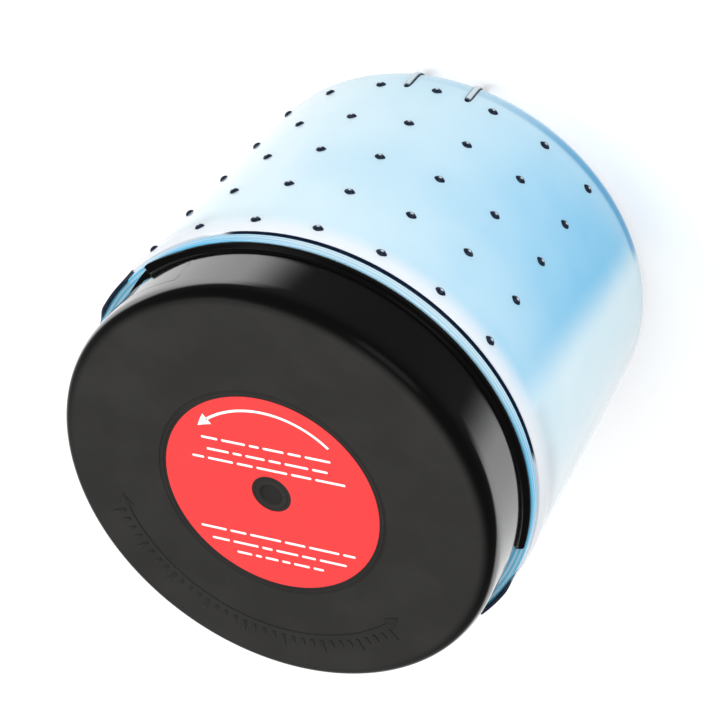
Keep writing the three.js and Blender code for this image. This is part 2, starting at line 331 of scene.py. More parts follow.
class Nodes:
    """Short names for building a material's node tree."""

    def __init__(self, name):
        self.material = bpy.data.materials.new(name)
        self.material.use_nodes = True
        self.tree = self.material.node_tree
        self.tree.nodes.clear()
        self.out = self.add("ShaderNodeOutputMaterial")

    def add(self, kind, **settings):
        node = self.tree.nodes.new(kind)
        for key, value in settings.items():
            setattr(node, key, value)
        return node

    def feed(self, socket, value):
        """Gives an input a link from another socket, a colour or a number."""
        if isinstance(value, bpy.types.NodeSocket):
            self.tree.links.new(value, socket)
        else:
            socket.default_value = (*value, 1.0) if isinstance(value, tuple) else value

    def position(self):
        """Object coordinates, in metres from the centre of the underside."""
        return self.add("ShaderNodeTexCoord").outputs["Object"]

    def radius_and_height(self):
        """Distance from the Z axis, and height."""
        split = self.add("ShaderNodeSeparateXYZ")
        self.feed(split.inputs[0], self.position())
        x, y, z = split.outputs
        return self.math("SQRT", self.plus(self.times(x, x), self.times(y, y))), z

    def attribute(self, name):
        """A number that is stored at the points of the mesh."""
        return self.add("ShaderNodeAttribute", attribute_name=name).outputs["Fac"]

    def math(self, operation, *values, clamp=False):
        node = self.add("ShaderNodeMath", operation=operation, use_clamp=clamp)
        for socket, value in zip(node.inputs, values):
            self.feed(socket, value)
        return node.outputs[0]

    def plus(self, a, b):
        return self.math("ADD", a, b)

    def times(self, a, b):
        return self.math("MULTIPLY", a, b)

    def ramp(self, value, low, high, out_low=0.0, out_high=1.0):
        """Maps value from low..high to out_low..out_high, gently at both ends."""
        node = self.add("ShaderNodeMapRange", interpolation_type="SMOOTHSTEP")
        names = ("Value", "From Min", "From Max", "To Min", "To Max")
        for name, setting in zip(names, (value, low, high, out_low, out_high)):
            self.feed(node.inputs[name], setting)
        return node.outputs["Result"]

    def between(self, value, low, high, blend):
        """1 where value is between low and high, fading to 0 over the blend on each side."""
        return self.times(self.ramp(value, low - blend, low), self.ramp(value, high + blend, high))

    def mix(self, factor, a, b):
        """A colour between a and b."""
        node = self.add("ShaderNodeMix", data_type="RGBA")
        for place, value in ((0, factor), (6, a), (7, b)):
            self.feed(node.inputs[place], value)
        return node.outputs[2]

    def noise(self, scale, detail=3.0, vector=None):
        node = self.add("ShaderNodeTexNoise")
        for name, value in (("Scale", scale), ("Detail", detail), ("Vector", vector or self.position())):
            self.feed(node.inputs[name], value)
        return node.outputs["Fac"]

    def bump(self, height, strength, distance):
        node = self.add("ShaderNodeBump")
        for name, value in (("Height", height), ("Strength", strength), ("Distance", distance)):
            self.feed(node.inputs[name], value)
        return node.outputs["Normal"]

    def principled(self, colour, roughness, **others):
        """A Principled shader. The others are inputs by name, with _ in place of a space."""
        node = self.add("ShaderNodeBsdfPrincipled")
        for name, value in {"Base Color": colour, "Roughness": roughness, **others}.items():
            self.feed(node.inputs[name.replace("_", " ")], value)
        return node.outputs[0]

    def made_of(self, shader):
        """The material, with this shader on its surface."""
        self.feed(self.out.inputs["Surface"], shader)
        return self.material


def clear_plastic(h):
    """Clear blue plastic: it part refracts and part scatters. The piece's depth attribute paints shade
    and reflection into it: a deeper blue, as painted shade, above 0 and white, as a painted reflection,
    below 0. A painted highlight makes it white up to the groove, a painted shade makes it dark in the
    groove, where the piece's line attribute says how dark, and a painted shade makes it blue just over
    the base edge, whose white is a painted highlight."""
    n = Nodes("clear_blue_plastic")
    pale, deep, clear = tuple(h.pale), tuple(h.deep), tuple(h.clear)
    light, dark = tuple(h.painted_highlight), tuple(h.painted_shade_dark)
    painted_shade_grey = (0.36, 0.36, 0.41)
    painted_rim_shade_blue = tuple(share * c for share, c in zip((0.15, 0.62, 0.74), deep))
    shadow_whiteness = 0.85
    # The depth attribute holds painted shade and painted reflection.
    depth = n.attribute("depth")
    r, z = n.radius_and_height()
    groove_z, shoulder_z = h.groove_z, h.shoulder_z

    rings = n.add("ShaderNodeCombineXYZ")
    n.feed(rings.inputs[0], r)
    n.feed(rings.inputs[1], z)
    streak = n.times(n.ramp(n.noise(700.0, 1.0, rings.outputs[0]), 0.38, 0.62, -0.25, 0.5),
                     n.ramp(z, groove_z + 0.8 * MM, groove_z + 1.8 * MM))
    cloud = n.plus(n.ramp(n.noise(16.0), 0.38, 0.72, -0.05, 0.09), streak)
    # Painted shade: the plastic's own pale blue deepens with the depth attribute.
    tint = n.mix(n.math("ADD", depth, cloud, clamp=True), pale, deep)
    # Painted reflection: the plastic turns white where the depth attribute falls below 0.
    painted_white_reflection = n.ramp(n.plus(depth, n.times(cloud, 2.0)), 0.0, -1.0)
    tint = n.mix(n.times(painted_white_reflection, 0.9), tint, clear)

    # Painted shade: grey on the white sides where the wall flares into the shoulder.
    painted_shade_band = n.times(n.ramp(z, shoulder_z - 22 * MM, shoulder_z - 5 * MM),
                        n.ramp(depth, 0.12, -0.1, 0.0, 0.42))
    tint = n.mix(painted_shade_band, tint, painted_shade_grey)
    # Painted highlight: the shoulder's roll is white up to the groove.
    under_groove = n.ramp(z, groove_z + 0.4 * MM, groove_z - 0.6 * MM)
    shoulder = n.times(n.ramp(z, shoulder_z - 9 * MM, groove_z - 1.4 * MM, 0.0, 0.9), under_groove)
    tint = n.mix(shoulder, tint, light)
    # Painted highlight: the base's rounded edge is white.
    tint = n.mix(n.ramp(z, 7 * MM, 3 * MM, 0.0, 0.95), tint, light)
    # Painted shade: a blue line just over the base edge, deeper where the depth attribute is high.
    rim = n.times(n.between(z, 9 * MM, 12 * MM, 3 * MM), n.ramp(depth, 0.05, 0.5, 0.06, 0.92))
    tint = n.mix(rim, tint, painted_rim_shade_blue)
    # Painted shade: dark in the groove, as dark as the line attribute says.
    groove = n.times(n.ramp(r, h.collar_r + 0.5 * MM, h.collar_r + 0.15 * MM),
                     n.between(z, groove_z - 1.4 * MM, groove_z + 1.2 * MM, 0.25 * MM))
    tint = n.mix(n.times(groove, n.attribute("line")), tint, dark)

    body = n.principled(tint, 0.05, IOR=1.58, Transmission_Weight=0.25,
                        Normal=n.bump(n.noise(30.0, 2.0), 0.08, 3 * MM))
    see_through = n.add("ShaderNodeBsdfTransparent")
    n.feed(see_through.inputs["Color"], n.mix(shadow_whiteness, tint, WHITE))
    both = n.add("ShaderNodeMixShader")
    shadow_ray = n.add("ShaderNodeLightPath").outputs["Is Shadow Ray"]
    for socket, value in zip(both.inputs, (shadow_ray, body, see_through.outputs[0])):
        n.feed(socket, value)
    return n.made_of(both.outputs[0])


def relief_plastic(h):
    """The same plastic where it is sharply curved, painted dark: a painted shade stands for the light
    that it bends away, but for the painted highlights, spots and streaks, that the piece's light
    attribute names."""
    n = Nodes("moulded_relief")
    light = n.attribute("light")
    speck = n.ramp(n.noise(900.0, 2.0), 0.4, 0.7, 0.0, 0.03)
    # Painted highlight: pale blue to white where the light attribute is high.
    clear = n.mix(n.ramp(light, 0.6, 1.0), tuple(0.8 * c for c in h.pale), tuple(h.painted_highlight))
    tint = n.mix(n.math("MAXIMUM", light, speck), tuple(h.painted_shade_dark), clear)
    return n.made_of(n.principled(tint, 0.12, Specular_IOR_Level=0.12))


def lid_plastic(lid):
    """Black moulded plastic: a fine satin grain on the face, and a polished edge and skirt, whose
    polish shows where the wall turns away from the eye."""
    n = Nodes("black_moulded_plastic")
    plastic, skirt_black = tuple(lid.plastic), (0.002, 0.002, 0.002)
    r, z = n.radius_and_height()
    face = n.times(n.ramp(z, TOP - 3.5 * MM, TOP - 0.6 * MM),
                   n.ramp(r, lid.radius - 2 * MM, lid.radius - 7.5 * MM))
    cloud = n.noise(38.0, 4.0)
    satin = n.mix(n.ramp(cloud, 0.3, 0.75), plastic, tuple(c * 1.22 for c in plastic))
    roughness = n.plus(n.ramp(face, 0.0, 1.0, 0.16, 0.5), n.times(cloud, 0.06))
    grain = n.bump(n.times(n.noise(1400.0, 2.0), face), 0.25, 0.3 * MM)
    wall = n.times(n.ramp(r, lid.radius - 2 * MM, lid.radius - 0.8 * MM),
                   n.between(z, LID_BOTTOM + 3.4 * MM, TOP - 5 * MM, 2 * MM))
    facing = n.add("ShaderNodeLayerWeight")
    facing.inputs["Blend"].default_value = 0.5
    polish = n.times(wall, n.ramp(facing.outputs["Facing"], 0.385, 0.5))
    return n.made_of(n.principled(n.mix(face, skirt_black, satin), roughness, Normal=grain,
                                  Specular_IOR_Level=0.03, Coat_Weight=polish, Coat_IOR=2.1,
                                  Coat_Roughness=0.08))


def polished_marks():
    """The same black where the mould was polished, which makes raised marks darker than the face."""
    n = Nodes("polished_black_marks")
    tint = n.mix(n.noise(300.0), (0.003, 0.003, 0.003), (0.006, 0.006, 0.006))
    roughness = n.ramp(n.noise(700.0), 0.3, 0.7, 0.22, 0.32)
    return n.made_of(n.principled(tint, roughness, Specular_IOR_Level=0.3))


def label_vinyl(label):
    """Red printed vinyl with a faint unevenness in its colour and gloss."""
    n = Nodes("red_vinyl")
    red = tuple(label.red)
    tint = n.mix(n.ramp(n.noise(60.0), 0.3, 0.7), red, tuple(c * 0.93 for c in red))
    roughness = n.ramp(n.noise(240.0), 0.3, 0.7, 0.38, 0.46)
    return n.made_of(n.principled(tint, roughness, Specular_IOR_Level=0.25,
                                  Normal=n.bump(n.noise(700.0), 0.05, 0.2 * MM)))


def print_ink(label):
    """White ink, slightly uneven."""
    n = Nodes("white_print")
    white = tuple(label.white)
    tint = n.mix(n.ramp(n.noise(500.0), 0.35, 0.75), white, tuple(c * 0.9 for c in white))
    return n.made_of(n.principled(tint, 0.5))


def painted_floor(colour):
    """Matt pale paint, very slightly uneven."""
    n = Nodes("pale_floor")
    tint = n.mix(n.ramp(n.noise(3.0), 0.3, 0.7), colour, tuple(c * 0.99 for c in colour))
    return n.made_of(n.principled(tint, 0.6))


# ---- Housing ----

def wall_radius(h, z):
    """Radius of the tapered wall at height z."""
    return h.base_r + (h.shoulder_r - h.base_r) * (z - h.base_fillet) / (h.shoulder_z - h.base_fillet)


def housing_profile(h, groove_depth):
    """The housing's section, from the middle of the underside up outside and down inside."""
    ceiling = h.collar_z - h.wall
    neck_in = h.neck_r - h.neck_wall
    g, groove_r = h.groove_z, h.collar_r - groove_depth
    corners = [
        (0, 0, 0),
        (5 * MM, 0, 0.2 * MM), (5.3 * MM, 0.25 * MM, 0.2 * MM), (6.2 * MM, 0.25 * MM, 0.2 * MM),
        (6.5 * MM, 0, 0.2 * MM),
        (h.base_r - 0.4 * MM, 0, h.base_fillet - 0.5 * MM),
        (h.shoulder_r, h.shoulder_z, 3 * MM),
        (h.collar_r + 0.8 * MM, g - 1.3 * MM, 0.8 * MM),
        (groove_r, g - 0.9 * MM, 0.15 * MM),
        (groove_r, g + 0.9 * MM, 0.15 * MM),
        (h.collar_r + 0.35 * MM, g + 1.3 * MM, 0.3 * MM),
        (h.collar_r, h.collar_z, 1.0 * MM),
        (h.neck_r, h.collar_z, 1.0 * MM),
        (h.neck_r, NECK_TOP, 0.9 * MM),
        (neck_in, NECK_TOP, 0.9 * MM),
        (neck_in, ceiling, 1.2 * MM),
        (h.shoulder_r - h.wall, ceiling, 6 * MM),
        (h.shoulder_r - h.wall, h.shoulder_z, 3 * MM),
        (h.base_r - h.wall, h.wall, h.base_fillet - h.wall),
        (0, h.wall, 0),
    ]
    return spaced(rounded(corners), 7 * MM)


class CANISTER_OT_housing(bpy.types.Operator):
    """Adds the clear housing, with its thread, stops, ribs and bumps"""
    bl_idname = "canister.housing"
    bl_label = "Housing"

    def execute(self, context):
        h = context.scene.canister_housing
        clear = clear_plastic(h)
        relief = relief_plastic(h)
        self.shell(h, clear)
        self.thread(h, context.scene.canister_thread, clear)
        self.stops(context.scene.canister_lid, relief)
        self.ribs(h, relief)
        self.parting_lines(h, clear)
        self.bumps(h, relief)
        return {"FINISHED"}

    def shell(self, h, clear):
        """The section turned about Z. The groove's depth fades between deep and shallow stretches."""
        deep, shallow = housing_profile(h, 1.3 * MM), housing_profile(h, 0.3 * MM)
        a = all_round(420)
        share = self.groove_share(np.degrees(a))[:, None, None]
        points = revolve(deep, a) * share + revolve(shallow, a) * (1 - share)
        shell = Surface().grid(points, close_u=True)
        shell = add_piece(shell, "housing_shell", *HOUSING, clear, "housing")
        # Painted shade and painted reflection, stored in the depth attribute.
        paint(shell, "depth", lambda x, y, z: self.depth(bearing(x, y), z, h.groove_z))
        # Painted shade in the groove, darkest where the groove is deep.
        paint(shell, "line", lambda x, y, z: 0.2 + 0.8 * self.groove_share(bearing(x, y)))

    def groove_share(self, degrees):
        """1 where the groove is deep, over 98 degrees on the front and on the back, and 0 elsewhere."""
        middle, half_span, fade = -117.3, 47, 4
        return 1 - smooth((np.abs(angle_from(middle, degrees, 180)) - half_span) / fade)

    def depth(self, degrees, z, groove_z):
        """How deep the blue is painted, as painted shade: in each half it starts softly at one side and
        fades over 105 degrees, as a power of what is left of that angle. Past both ends of that stretch it
        sinks below 0, towards white, as a painted reflection. It is weaker at the shoulder and the base
        edge, and the collar has its own measure of painted shade."""
        start = angle_from(-159 + 45 * z, degrees, 180)
        past = np.where(start < -60, start + 180, start)
        fade = 0.94 * np.clip(1 - past / 105, 0, 1) ** 1.65 * smooth((past + 7) / 13)
        # Painted reflection: white past both ends of the blue stretch.
        white = smooth((past - 88) / 34) + smooth((-past - 12) / 30)
        height = 1 - 0.35 * smooth((z - 0.08) / 0.07) - 0.25 * smooth((0.03 - z) / 0.02)
        # Painted shade on the collar: pale at front and back, bluer at the sides.
        collar = 0.2 + 0.5 * smooth((np.abs(angle_from(-117, degrees, 180)) - 25) / 30)
        return np.where(z > groove_z, collar, fade * height - white)

    def thread(self, h, t, clear):
        """Each ridge is a rounded section carried along a helix: z rises by the lead in each turn."""
        ridge = Surface()
        section = ridge_section(0.8, 2.2, 1.1, 0.4)
        for start in range(t.starts):
            ridge.bars(helix(section, h.neck_r, 1, t.low_z, t.lead, start * 360 / t.starts, 0, 360))
        add_piece(ridge, "housing_thread", *HOUSING, clear)

    def stops(self, lid, relief):
        """Each stop is a rounded section swept round the collar, rising over its first and last parts.
        It has a painted highlight in the middle."""
        low, high = 160 * MM, 171.5 * MM
        inner, outer = 111.1 * MM, 113.05 * MM
        first, last, steps = -1.8, 16.0, 60
        seam = (inner, (low + high) / 2, 0)
        section = rounded([seam, (inner, high, 0.5 * MM), (outer, high, 0.6 * MM),
                           (outer, low, 1.2 * MM), (inner, low, 0.1 * MM), seam], 4)
        section = spaced(section, 0.8 * MM)[:-1]
        middle = math.degrees(lid.snap_middle)
        share = np.linspace(0, 1, steps)
        rise = np.minimum(smooth(share / 0.03), smooth((1 - share) / 0.4)) * 0.97 + 0.03
        base = low + 4 * MM
        stops = Surface()
        for side in (0, 180):
            points = revolve(section, np.radians(middle + side + np.linspace(first, last, steps)))
            r = np.linalg.norm(points[..., :2], axis=2)
            keep = (inner + (r - inner) * (0.25 + 0.75 * rise[:, None])) / r
            points[..., :2] *= keep[..., None]
            above = points[..., 2] - base
            points[..., 2] = base + np.where(above > 0, above * (0.55 + 0.45 * rise[:, None]), above)
            stops.bars(points)
        stops = add_piece(stops, "housing_stops", *HOUSING, relief)
        # Painted highlight in the middle of each stop.
        spot, spot_z = middle + (first + last) / 2, 165.4 * MM
        paint(stops, "light", lambda x, y, z: (
            0.5 * smooth((4.6 * MM - np.abs(z - spot_z)) / (1.6 * MM))
            * smooth((7.6 - np.abs(angle_from(spot, bearing(x, y), 180))) / 1.5)))

    def ribs(self, h, relief):
        """Half-round ribs: an ellipse carried down the wall's line and round the base edge's arc. Each is
        painted dark along its sides and at its upper end, as painted shade, with a painted highlight
        between."""
        half, tall, sink = 1.95 * MM, 1.55 * MM, 0.25 * MM
        arc_r = h.base_fillet - sink
        down = np.linspace(h.rib_top_z, h.base_fillet, 14, endpoint=False)
        turned = np.radians(np.linspace(0, -66, 22))
        r = np.concatenate([wall_radius(h, down) - sink,
                            h.base_r - h.base_fillet + arc_r * np.cos(turned)])
        z = np.concatenate([down, h.base_fillet + arc_r * np.sin(turned)])
        path = np.stack([r, 0 * r, z], 1)
        ahead = np.gradient(path, axis=0)
        ahead /= np.linalg.norm(ahead, axis=1)[:, None]
        side = np.array([0.0, 1.0, 0.0])
        out = np.cross(side, ahead)
        out *= np.sign(out[0, 0])
        a = all_round(24)
        share = np.linspace(0, 1, len(r))
        thick = np.sqrt(np.clip(1 - np.abs(2 * share - 1) ** 8, 0.02, 1))[:, None, None]
        points = path[:, None, :] + thick * (tall * np.cos(a)[None, :, None] * out[:, None, :]
                                             + half * np.sin(a)[None, :, None] * side[None, None, :])
        angles = [front + s * math.degrees(h.rib_angle) for front in FRONT_AND_BACK for s in (-1, 1)]
        ribs = Surface().bars(*(placed(points, turn(one)) for one in angles))
        ribs = add_piece(ribs, "housing_ribs", *HOUSING, relief)

        # Painted highlight along each rib's middle, with painted shade at its sides and upper end.
        def light(x, y, z):
            gaps = [angle_from(one, bearing(x, y)) for one in angles]
            aside = np.radians(np.min(np.abs(gaps), axis=0)) * np.hypot(x, y) / half
            below_end = smooth((h.rib_top_z - 1.6 * MM - z) / (1.2 * MM))
            return 0.8 * smooth((0.82 - aside) / 0.35) * below_end

        paint(ribs, "light", light)

    def parting_lines(self, h, clear):
        """Two thin lines up the wall, where the halves of the mould met: a flat arch along the wall."""
        z = np.linspace(h.base_fillet, h.shoulder_z - 8 * MM, 30)
        across = np.linspace(-0.35, 0.35, 7) * MM
        arch = np.array([-0.3, 0.05, 0.14, 0.17, 0.14, 0.05, -0.3]) * MM
        r = wall_radius(h, z)[:, None] + arch[None, :]
        points = np.stack([r, across[None, :] + 0 * r, z[:, None] + 0 * r], 2)
        lines = Surface().bars(*(placed(points, turn(one)) for one in (-7, 173)))
        add_piece(lines, "housing_parting_lines", *HOUSING, clear)

    def bumps(self, h, relief):
        """Domes in two fields: the height falls as the 0.6th power of 1 - s squared, and the outline is
        a circle that is drawn out to a point on its two sides along the wall's circumference. Each is
        painted dark, with a painted highlight on top."""
        columns, rows = range(-3, 4), range(5)
        s = np.sin(np.linspace(0, np.pi / 2, 8))
        dome_r = np.concatenate([s, [1, 0]]) * h.bump_r
        dome_h = np.concatenate([h.bump_height * (1 - s ** 2) ** 0.6, [-0.35 * MM, -0.35 * MM]])
        a = all_round(24)
        dome = revolve(np.stack([dome_r, dome_h], 1), a)
        dome[..., 1] *= 1 + 0.28 * (np.abs(np.sin(a)) ** 6)[:, None]
        lean = math.atan((h.shoulder_r - h.base_r) / (h.shoulder_z - h.base_fillet))
        tilt = Matrix.Rotation(math.pi / 2 + lean, 4, "Y")
        bumps = Surface()
        for front, column, row in itertools.product(FRONT_AND_BACK, columns, rows):
            z = h.bump_first_z + row * h.bump_row_step
            out = Matrix.Translation((wall_radius(h, z), 0, z)) @ tilt
            around = turn(front + column * math.degrees(h.bump_column_step))
            bumps.grid(placed(dome, around @ out), close_u=True)
        bumps = add_piece(bumps, "housing_bumps", *HOUSING, relief)
        # Painted highlight: a light spot on top of each bump.
        paint(bumps, "light", lambda x, y, z: smooth(
            ((np.hypot(x, y) - wall_radius(h, z)) / h.bump_height - 0.92) / 0.09))


def ridge_section(sink, height, half_crest, round_off):
    """A thread's section, from a root sunk in the wall to its crest, in millimetres as it is given."""
    lower = [(-sink, -2.2, 0), (0, -2.2, 0.3), (height, -half_crest, round_off)]
    upper = [(x, -y, radius) for x, y, radius in reversed(lower)]
    return rounded(np.array(lower + upper) * MM, 3)


def helix(section, root_r, way, low_z, lead, start_deg, from_deg, to_deg):
    """A ridge along a helix of root_r: at angle a its section sits at low_z + lead * a / 360.

    It stands outwards where way is 1 and inwards where it is -1. Its height shrinks to a tenth over
    the last few degrees at each end.
    """
    a = np.linspace(from_deg, to_deg, max(12, int((to_deg - from_deg) / 1.5)))
    run = np.minimum(1, 0.1 + np.minimum(a - from_deg, to_deg - a) / 22)
    x = np.where(section[None, :, 0] > 0, section[None, :, 0] * run[:, None], section[None, :, 0])
    r = root_r + way * x
    z = low_z + section[None, :, 1] + (lead * a / 360)[:, None]
    turned = np.radians(start_deg + a)[:, None]
    return polar(r, turned, z)


# ---- Lid ----

def skirt_corners(lid, inner_r):
    """The foot of the skirt and its flange, from the inside out and up to the wall."""
    z = LID_BOTTOM
    return [
        (inner_r, z, 0.5 * MM),
        (lid.flange_r, z, 0.4 * MM),
        (lid.flange_r, z + lid.flange_h, 0.6 * MM),
        (lid.radius, z + lid.flange_h + 0.5 * MM, 1.4 * MM),
    ]


class CANISTER_OT_lid(bpy.types.Operator):
    """Adds the black lid, with its thread and the raised marks on its face"""
    bl_idname = "canister.lid"
    bl_label = "Lid"

    def execute(self, context):
        lid = context.scene.canister_lid
        black = lid_plastic(lid)
        self.cap(lid, black)
        self.thread(lid, context.scene.canister_thread, black)
        self.marks()
        return {"FINISHED"}

    def cap(self, lid, black):
        """The lid's section turned about Z, with a window for each snap.

        Inside a window the section's low points are lifted to the window's top. At each side of it
        one more column has the flange pulled in to the wall, and the columns there are turned by
        asin(w / r) - asin(w / R), so that the sides are flat and parallel.
        """
        face = TOP - 0.35 * MM
        floor = TOP - lid.recess_depth
        corners = [
            (0, TOP - lid.face, 0),
            (lid.skirt_inner_r, TOP - lid.face, 4 * MM),
            *skirt_corners(lid, lid.skirt_inner_r),
            (lid.radius, face, lid.fillet),
            (lid.ring_r + 0.8 * MM, face, 0.3 * MM),
            (lid.ring_r + 0.35 * MM, face - 0.6 * MM, 0.2 * MM),
            (lid.ring_r - 0.35 * MM, face - 0.6 * MM, 0.2 * MM),
            (lid.ring_r - 0.8 * MM, face, 0.3 * MM),
            (lid.recess_r + 0.3 * MM, face, 0.2 * MM),
            (lid.recess_r, floor, 0.2 * MM),
            (lid.hub_r, floor, 0.3 * MM),
            (lid.hub_r - 0.6 * MM, floor + 0.75 * MM, 0.4 * MM),
            (lid.hub_r - 2.4 * MM, floor + 0.75 * MM, 0.4 * MM),
            (lid.hub_r - 3.2 * MM, floor - 0.5 * MM, 0.4 * MM),
            (0, floor - 0.5 * MM, 0),
        ]
        section = spaced(rounded(corners, 8), 4 * MM)
        w, outer = lid.snap_half_width, lid.radius
        edge = math.asin(w / outer)
        across, between = 60, 170
        inside = np.concatenate([[-edge], np.linspace(-edge, edge, across), [edge]])
        outside = np.linspace(edge, np.pi - edge, between)
        a = np.concatenate([inside, outside, inside + np.pi, outside + np.pi])
        rest = np.zeros(between)
        pulled_in = np.concatenate([np.ones(across + 2), rest] * 2).astype(bool)[:, None]
        lifted = np.concatenate([[0], np.ones(across), [0], rest] * 2).astype(bool)[:, None]
        r = np.broadcast_to(section[:, 0], (len(a), len(section))).copy()
        z = np.broadcast_to(section[:, 1], r.shape).copy()
        low = z < lid.snap_window_z
        r = np.where(low & pulled_in, np.clip(r, 0, outer), r)
        z = np.where(low & lifted, lid.snap_window_z, z)
        near = (a + np.pi / 2) % np.pi - np.pi / 2
        fade = np.clip(1 - np.abs(np.abs(near) - edge) / math.radians(4), 0, 1)
        shift = np.arcsin(w / np.maximum(r, 100 * MM)) - edge
        turned = a[:, None] + np.sign(near)[:, None] * fade[:, None] * shift + lid.snap_middle
        points = polar(r, turned, z)
        add_piece(Surface().grid(points, close_u=True), "lid_cap", *LID, black, "lid")

    def thread(self, lid, t, black):
        """The lid's ridges on their helix, left out where a snap's window cuts them."""
        section = ridge_section(0.4, 5.3, 1.2, 0.5)
        ridge = Surface()
        middle = math.degrees(lid.snap_middle) + 180
        half = math.degrees(math.asin(lid.snap_half_width / lid.skirt_inner_r)) + 1
        for start in range(t.starts):
            for low, high in ((0, middle - half), (middle + half, middle + 180 - half),
                              (middle + 180 + half, 360)):
                points = helix(section, lid.skirt_inner_r, -1, t.low_z + t.lid_lift, t.lead,
                               start * 360 / t.starts, low, high)
                ridge.bars(points)
        add_piece(ridge, "lid_thread", *LID, black)

    def marks(self):
        """A raised arc with an arrow head at each end and a row of ticks, as flat rounded slabs."""
        slabs = Surface()
        middle, half_span = 80.0, 56.0
        arc = [(80.2, 81.8, -half_span, half_span)]
        ticks = [(83.6, 90.5 if i % 4 == 0 else 87.6, i * 3.4 - 0.5, i * 3.4 + 0.5) for i in range(-16, 17)]
        for from_r, to_r, low, high in arc + ticks:
            a = np.radians(middle + np.linspace(low, high, max(3, int((high - low) / 1.5) + 2)))
            slabs.bars(slab(from_r * MM, to_r * MM, a))
        for sign in (-1, 1):
            along = middle + sign * half_span + sign * np.linspace(0, 5.0, 10)
            slabs.bars(arrow_head(81 * MM, along, 3.4 * MM))
        add_piece(slabs, "lid_marks", *LID, polished_marks(), sharp=60.0)


def slab(from_r, to_r, a, low=-0.45 * MM, high=-0.02 * MM):
    """A flat slab between two radii: a small box section with rounded top edges carried round. Its
    heights are measured from the top of the lid."""
    low, high = TOP + low, TOP + high
    section = rounded([(from_r, low, 0), (from_r + 0.1 * MM, high, 0.08 * MM),
                       (to_r - 0.1 * MM, high, 0.08 * MM), (to_r, low, 0)], 3)
    return revolve(section, a)


def arrow_head(r, degrees, half_width, **heights):
    """A slab whose two radii close in on each other along its angles, which makes a point."""
    widths = np.linspace(half_width, 0.15 * MM, len(degrees))
    return np.concatenate([slab(r - w, r + w, np.radians([one]), **heights)
                           for one, w in zip(degrees, widths)])


class CANISTER_OT_snaps(bpy.types.Operator):
    """Adds the two springy snaps of the lid, each with its tooth and its textured push area"""
    bl_idname = "canister.snaps"
    bl_label = "Snaps"

    def execute(self, context):
        lid = context.scene.canister_lid
        black = bpy.data.materials["black_moulded_plastic"]
        points = self.tongue(lid)
        for k in (1, 2):
            middle = math.degrees(lid.snap_middle) + 180 * (k - 1)
            snap = Surface().bars(placed(points, turn(middle)))
            add_piece(snap, f"snap_{k}", f"snap_{k}", "black_lid", black, f"snap_tongue_{k}")
        return {"FINISHED"}

    def tongue(self, lid):
        """A closed section carried across the snap on flat parallel sides: y is straight and x is
        sqrt(r squared - y squared). The tooth lifts the foot's radius along a ramp that ends in a
        steep face, past which the flange tapers away. Upright ridges give the push area its texture.
        The foot is cut on a slant that lies flat over the collar when the snap is pushed right in.
        """
        top = lid.snap_window_z - 0.3 * MM
        corners = [
            (lid.snap_inner_r, 180 * MM, 0),
            *skirt_corners(lid, lid.snap_inner_r),
            (lid.radius, top, 0.05 * MM),
            (lid.snap_inner_r + 1.4 * MM, top, 0.2 * MM),
            (lid.snap_inner_r, top - 2 * MM, 0.5 * MM),
            (lid.snap_inner_r, 180 * MM, 0),
        ]
        section = spaced(rounded(corners, 6)[:-1], 0.5 * MM)
        w = lid.snap_half_width - 0.06 * MM
        y = np.linspace(-w, w, 420)[:, None]
        r0, z = section[None, :, 0], section[None, :, 1]
        above = z - LID_BOTTOM
        a = np.arcsin(y / lid.radius)
        to_end = a[-1] - a
        outside = r0 > lid.snap_inner_r + 0.6 * MM

        nose, nose_share = 1.2 * MM, 0.14
        share = (a - lid.tooth_tail) / (lid.tooth_face - lid.tooth_tail)
        before_face = smooth((lid.tooth_face - a) / 0.004)
        reach = lid.flange_r - 0.4 * MM
        reach = reach + (lid.tooth_r - reach) * np.clip(share, 0, 1)
        round_off = 1 - np.sqrt(1 - np.clip((share - 1 + nose_share) / nose_share, 0, 1) ** 2)
        reach = reach - nose * round_off
        under_top = smooth((lid.tooth_h - above) / (0.4 * MM))
        edge = np.minimum(0.6 + smooth(above / (0.3 * MM)), 1)
        tooth = np.maximum(r0, lid.radius + (reach - lid.radius) * under_top * edge)
        ramped = r0 + (tooth - r0) * before_face * smooth(share / 0.08)
        r = np.where(outside & (r0 > lid.radius - 0.6 * MM), ramped, r0)

        in_pad = (1 - before_face) * smooth((lid.pad_z - z) / (1.2 * MM)) * smooth(to_end / math.radians(3))
        left = np.clip(1 - (a - lid.tooth_face) / lid.taper_span, 0, 1) * under_top
        pad_edge = 0.4 * MM * smooth(1 - above / (0.5 * MM))
        pad = lid.pad_r + (lid.taper_r - lid.pad_r) * left - pad_edge
        r = np.where(outside, r + (np.minimum(r, pad) - r) * in_pad, r)

        ridge_step, ridge_height = 2.3 * MM, 0.5 * MM
        ridge = (0.5 + 0.5 * np.cos(2 * np.pi * y / ridge_step)) ** 0.7
        texture = (smooth((a - lid.tooth_face) / 0.02 - 1) * smooth(to_end / 0.02 - 1)
                   * smooth(above / MM - 3) * smooth((lid.pad_z - z) / MM - 2))
        r = r + np.where(outside, ridge_height * ridge * texture, 0)

        x = np.sqrt(r ** 2 - y ** 2)
        drop = (x - lid.hinge_x) * math.sin(lid.swing)
        reach_down = lid.hinge_z - COLLAR_TOP - 0.05 * MM - drop
        foot = lid.hinge_z - reach_down / math.cos(lid.swing)
        return np.stack([x, y + 0 * x, np.maximum(z, foot)], 2)


# ---- Label ----

